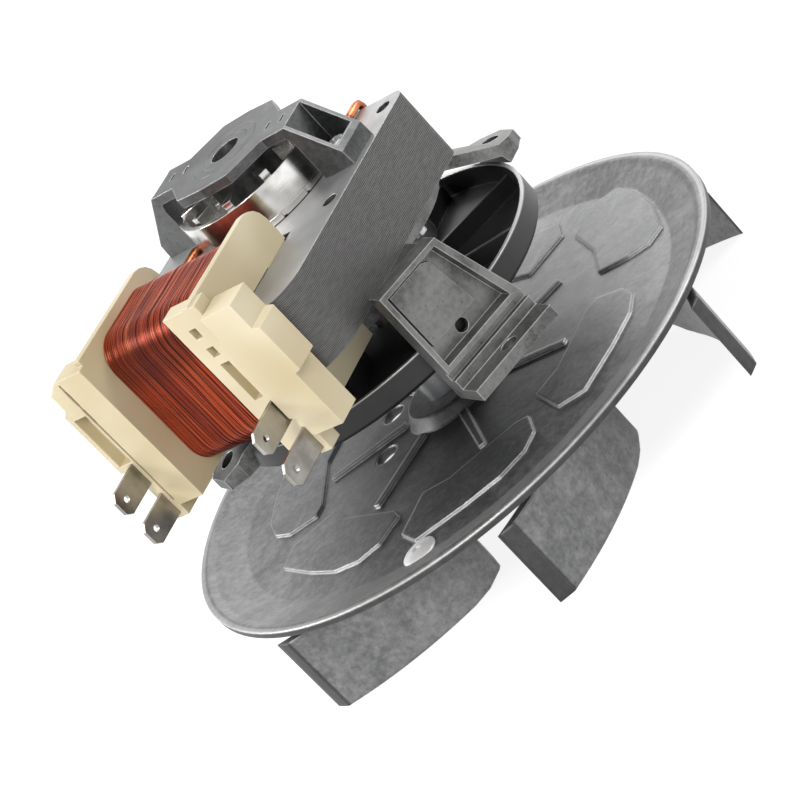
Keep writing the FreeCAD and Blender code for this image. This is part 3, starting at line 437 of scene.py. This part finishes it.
ring_copper = Finish("bare_copper", metallic=1.0)
dull = ring_copper.noise(0.003, detail=4)
ring_copper.shader_link("Base Color", colour_mix(
    dull.step(0.35, 0.7), rgb(0.25, 0.05, 0.025), rgb(0.75, 0.3, 0.14)))
ring_copper.shader_link("Roughness", dull * 0.3 + 0.2)
ring_copper.bump(dull, 0.00003, 0.5)
for name in ("shading_ring_right", "shading_ring_left"):
    low, high = (np.array(v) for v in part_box(name))
    radius = 0.5 * (high[0] - low[0]) - ring_gap
    loop, _ = rounded_loop(low[1:] + radius, high[1:] - radius, ring_corner, steps_along)
    around_wire = np.linspace(0, 2 * math.pi, points_round, endpoint=False)
    outward = radius * np.cos(around_wire)[None, :]
    ring_points = np.stack([
        np.tile(0.5 * (low[0] + high[0]) + radius * np.sin(around_wire), (steps_along, 1)),
        loop[:, 0, None] + outward * loop[:, 2, None],
        loop[:, 1, None] + outward * loop[:, 3, None]], axis=-1)
    ring = grid_mesh(name + "_wire", ring_points)
    ring.data.materials.append(ring_copper.material)
    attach(ring, "stator")
    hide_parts(name)


# Terminals.
# Four spades blanked from tinned brass strip 6.3 mm wide and pushed into the bobbin's blocks.
# Their edges are painted brighter than their faces, a painted highlight.

tinned = Finish("tinned_brass", metallic=1.0)
handled = tinned.noise(0.003, detail=4)
plate_shade = colour_mix(handled.step(0.3, 0.7), rgb(0.26, 0.245, 0.22), rgb(0.45, 0.43, 0.4))
# Painted highlight: every edge is painted brighter.
tinned.shader_link("Base Color", colour_mix(
    tinned.edges(0.00025) * 0.6, plate_shade, rgb(0.85, 0.84, 0.82)))
tinned.shader_link("Roughness", handled * 0.25 + 0.22)
tinned.bump(tinned.noise(0.0006, detail=3), 0.00002, 0.4)
tinned.on("terminal_near_upper", "terminal_near_lower", "terminal_far_upper",
          "terminal_far_lower")


# Rear and front bracket.
# Pressure die-cast aluminium, dull and grainy, with a painted highlight along its edges. Each
# holds a bearing, and two long screws clamp them to the stack.

def die_cast(name, dark, light, edge, lip=None):
    """Dull cast skin: large clouds, fine grain, small dark pits and edges painted bright as a
    highlight.

    A lip is a low ring round the Z axis, given by its two radii.
    """
    cast = Finish(name, metallic=0.9)
    cloud = cast.noise(0.016, detail=3)
    fine = cast.noise(0.0006, detail=4, rough=0.65)
    streak = cast.noise(0.004, detail=4, lumps=0.6)
    mottle = (cloud * 0.5 + streak * 0.3 + fine * 0.3).step(0.35, 0.75)
    skin = colour_mix(mottle, rgb(*dark), rgb(*light))
    spots = 1 - cast.pits(0.0017).step(0.05, 0.22)
    skin = colour_mix(spots * 0.35, skin, rgb(*(0.4 * c for c in dark)))
    # Painted highlight: the edges are painted bright.
    skin = colour_mix(cast.edges(0.0005) * 0.7, skin, rgb(*edge))
    cast.shader_link("Base Color", skin)
    cast.shader_link("Roughness", fine * 0.22 + cloud * 0.12 + 0.26)
    relief = fine * 0.7 + streak * 0.6
    if lip:
        slope = 0.0003
        radius = cast.from_axis()
        rise = radius.step(lip[0], lip[0] + slope) - radius.step(lip[1], lip[1] + slope)
        relief = relief + rise * 5
    cast.bump(relief, 0.00009, 0.8)
    return cast


oil_lip = (0.0062, 0.0088)
rear_cast = die_cast("rear_casting", (0.045, 0.046, 0.046), (0.17, 0.173, 0.173),
                     (0.5, 0.5, 0.5), oil_lip)
rear_cast.on("rear_bracket")
front_cast = die_cast("front_casting", (0.04, 0.04, 0.039), (0.25, 0.25, 0.246),
                      (0.7, 0.7, 0.69))
front_cast.on("front_bracket")


# Cooling fan.
# A dish pressed from thin steel sheet, on the shaft between the motor and the wheel. It is near
# black, partly its own dark sheet and partly painted shade, with a painted highlight on its top
# edge.

pressed = Finish("pressed_fan")
heat = pressed.noise(0.01, detail=3)
fan_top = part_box("cooling_fan")[1][2]
# Painted highlight: a narrow band along the top edge is painted bright, and it is more metallic
# too.
fan_rim_highlight = pressed.axis("Z").step(fan_top - 0.0005, fan_top - 0.0001)
# Near black: partly the dish's own dark sheet, partly painted shade under the stack.
dark_sheet_and_shade = colour_mix(heat.step(0.3, 0.7), rgb(0.008, 0.008, 0.008), rgb(0.03, 0.03, 0.03))
pressed.shader_link("Base Color", colour_mix(fan_rim_highlight, dark_sheet_and_shade, rgb(0.45, 0.45, 0.45)))
pressed.shader_link("Metallic", fan_rim_highlight * 0.7 + 0.2)
pressed.shader_link("Roughness", heat * 0.25 + 0.3)
pressed.bump(pressed.noise(0.001, detail=3), 0.00003, 0.5)
pressed.on("cooling_fan")


# Impeller.
# One pressure die casting with mottled grey skin, held on the shaft by its washer and nut. The
# metal is grainy; painted shade darkens it towards the middle, under the motor, and painted
# highlights brighten its edges and the top of its rim, over a painted dark line below the rim.

wheel_radius, rim_top = 0.075, -0.014
full_shade_radius, no_shade_radius = 0.018, 0.066
wheel = Finish("wheel_casting", metallic=0.9)
distance = wheel.from_axis()
outward = distance.step(full_shade_radius, no_shade_radius)
cloud = wheel.noise(0.018, detail=3, lumps=0.5)
fine = wheel.noise(0.0009, detail=4, rough=0.7)
flow = wheel.noise(0.006, detail=4, lumps=1.2)
skin = colour_mix((cloud * 0.3 + flow * 0.25 + fine * 0.5).step(0.36, 0.72),
                  rgb(0.13, 0.132, 0.132), rgb(0.31, 0.314, 0.31))
# Painted shade: darker towards the middle, under the motor.
skin = colour_mix((1 - outward) * 0.5, skin, rgb(0.04, 0.04, 0.04))
skin = colour_mix((1 - wheel.pits(0.0021).step(0.04, 0.2)) * 0.3, skin, rgb(0.05, 0.05, 0.05))
# Painted highlight: every edge is painted light.
skin = colour_mix(wheel.edges(0.0006) * 0.5, skin, rgb(0.82, 0.82, 0.81))
# Painted highlight: a bright band on the top of the rim.
on_rim = wheel.axis("Z").step(rim_top - 0.0006, rim_top - 0.0001)
wheel_rim_highlight = distance.step(wheel_radius - 0.0015, wheel_radius - 0.0009) * on_rim
skin = colour_mix(wheel_rim_highlight * 0.35, skin, rgb(0.7, 0.7, 0.69))
# Painted shade: a dark line on the rim's outer side, below its top.
under_rim = 1 - wheel.axis("Z").step(rim_top - 0.0007, rim_top - 0.0002)
wheel_rim_shade = distance.step(wheel_radius - 0.0006, wheel_radius - 0.0002) * under_rim
skin = colour_mix(wheel_rim_shade * 0.8, skin, rgb(0.04, 0.04, 0.04))
wheel.shader_link("Base Color", skin)
wheel.shader_link("Roughness", fine * 0.25 + cloud * 0.15 + 0.26)
wheel.bump(fine * 0.6 + flow * 0.8, 0.00012, 0.8, soft=0.0012)
wheel.on("impeller")


# Balance spot.
# A small bright disc of metal set in the wheel near its rim to balance it, and turned to a low
# cone. Its profile is spun about its own middle, and the tool has left fine rings on it.

spot_x, spot_y = 0.0182, -0.0584
spot_radius = 0.0043
spot_tip = 0.00005       # radius of the small hole that the tool left in its middle
spot_steps = 48
ring_pitch = 0.0003
spot_metal = Finish("bright_spot", metallic=0.5)
groove = (spot_metal.from_axis(spot_x, spot_y) * (2 * math.pi / ring_pitch)).math("SINE")
groove = groove * 0.5 + 0.5
spot_metal.shader_link("Base Color", colour_mix(groove, rgb(0.7, 0.7, 0.7), rgb(0.9, 0.9, 0.9)))
spot_metal.shader_link("Roughness", groove * 0.1 + 0.28)
spot_metal.bump(groove, 0.00002, 0.6)

# The spot stands where a ray straight down from above meets the wheel.
_, place, _, _ = nodes["impeller"].ray_cast(Vector((spot_x, spot_y, 0.0)), Vector((0, 0, -1)))
profile = np.array([(spot_tip, -0.0002), (spot_radius, -0.0002), (spot_radius, 0.0003),
                    (0.0040, 0.0005), (0.0030, 0.0007), (0.0016, 0.0011), (spot_tip, 0.0013)])
spin = np.linspace(0, 2 * math.pi, spot_steps, endpoint=False)[:, None]
spot_points = np.stack([place[0] + profile[:, 0] * np.cos(spin),
                        place[1] + profile[:, 0] * np.sin(spin),
                        place[2] + np.tile(profile[:, 1], (spot_steps, 1))], axis=-1)
spot = grid_mesh("balance_spot", spot_points)
spot.data.materials.append(spot_metal.material)
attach(spot, "rotor")


# Studio.
# A white floor under the wheel's blades, a white surround and four soft lamps. The camera looks
# at the coil's side from a little above, rolled so that the shaft leans to the left.

floor_z = cad_box[0][2]
reach = 6.0
floor_mesh = bpy.data.meshes.new("floor")
floor_mesh.from_pydata([(-reach, -reach, floor_z), (reach, -reach, floor_z),
                        (reach, reach, floor_z), (-reach, reach, floor_z)], [], [(0, 1, 2, 3)])
floor = bpy.data.objects.new("floor", floor_mesh)
bpy.context.scene.collection.objects.link(floor)


def seen_rays(start):
    """1 for the rays that show the background: seen straight, mirrored or through glass."""
    straight = start.node("ShaderNodeLightPath", out="Is Camera Ray")
    mirrored = start.node("ShaderNodeLightPath", out="Is Glossy Ray")
    through = start.node("ShaderNodeLightPath", out="Is Transmission Ray")
    return straight.math("MAXIMUM", mirrored).math("MAXIMUM", through)


paper = Finish("studio_paper", roughness=0.9)
paper.shader.inputs["Base Color"].default_value = rgb(0.86, 0.86, 0.86)
veil = seen_rays(paper.start) * 0.7
glow = paper.start.node("ShaderNodeEmission", None, {"Color": rgb(1, 1, 1), "Strength": 1.25})
both = paper.start.node("ShaderNodeMixShader", None, {
    0: veil, 1: Wire(paper.tree, paper.shader.outputs[0]), 2: glow})
paper.tree.links.new(both.socket, paper.tree.nodes["Material Output"].inputs["Surface"])
floor.data.materials.append(paper.material)

world = bpy.data.worlds.new("surround")
bpy.context.scene.world = world
world.use_nodes = True
air = Wire(world.node_tree)
world_strength = seen_rays(air) * 0.62 + 0.38
background = world.node_tree.nodes["Background"]
background.inputs["Color"].default_value = rgb(1, 1, 1)
world.node_tree.links.new(world_strength.socket, background.inputs["Strength"])

lamp_aim = Vector((0, 0, 0.01))
for name, place, size, power in (
        ("key", (0.25, -0.75, 0.75), 0.35, 7.0),
        ("side", (-0.7, -0.35, 0.5), 0.3, 5.0),
        ("rim", (0.5, 0.6, 0.6), 0.4, 4.0),
        ("back", (-0.45, 0.75, 0.38), 0.35, 0.9)):
    lamp = bpy.data.lights.new(name, "AREA")
    lamp.energy = power
    lamp.size = size
    holder = bpy.data.objects.new(name, lamp)
    bpy.context.scene.collection.objects.link(holder)
    holder.location = place
    facing_in = lamp_aim - Vector(place)
    holder.rotation_euler = facing_in.to_track_quat("-Z", "Y").to_euler()

azimuth, elevation, roll = (math.radians(v) for v in (46.0, 21.0, -43.6))
aim_height, camera_distance = 0.016, 0.6721
shift_right, shift_down = 0.009, 0.024
focal_pixels, picture_pixels, sensor_width = 2967.3, 800, 36.0
back = Vector((math.sin(azimuth) * math.cos(elevation),
               -math.cos(azimuth) * math.cos(elevation), math.sin(elevation)))
level_right = Vector((math.cos(azimuth), math.sin(azimuth), 0))
level_up = back.cross(level_right)
right = level_right * math.cos(roll) + level_up * math.sin(roll)
up = level_up * math.cos(roll) - level_right * math.sin(roll)
aim = Vector((0, 0, aim_height)) + right * shift_right - up * shift_down
eye = aim + back * camera_distance
camera_data = bpy.data.cameras.new("camera")
camera_data.sensor_width = sensor_width
camera_data.lens = focal_pixels / picture_pixels * sensor_width
camera_data.clip_start = 0.01
camera = bpy.data.objects.new("camera", camera_data)
bpy.context.scene.collection.objects.link(camera)
turn = Matrix((right, up, back)).transposed().to_4x4()
camera.matrix_world = Matrix.Translation(eye) @ turn
bpy.context.scene.camera = camera
bpy.context.scene.view_settings.view_transform = "Standard"
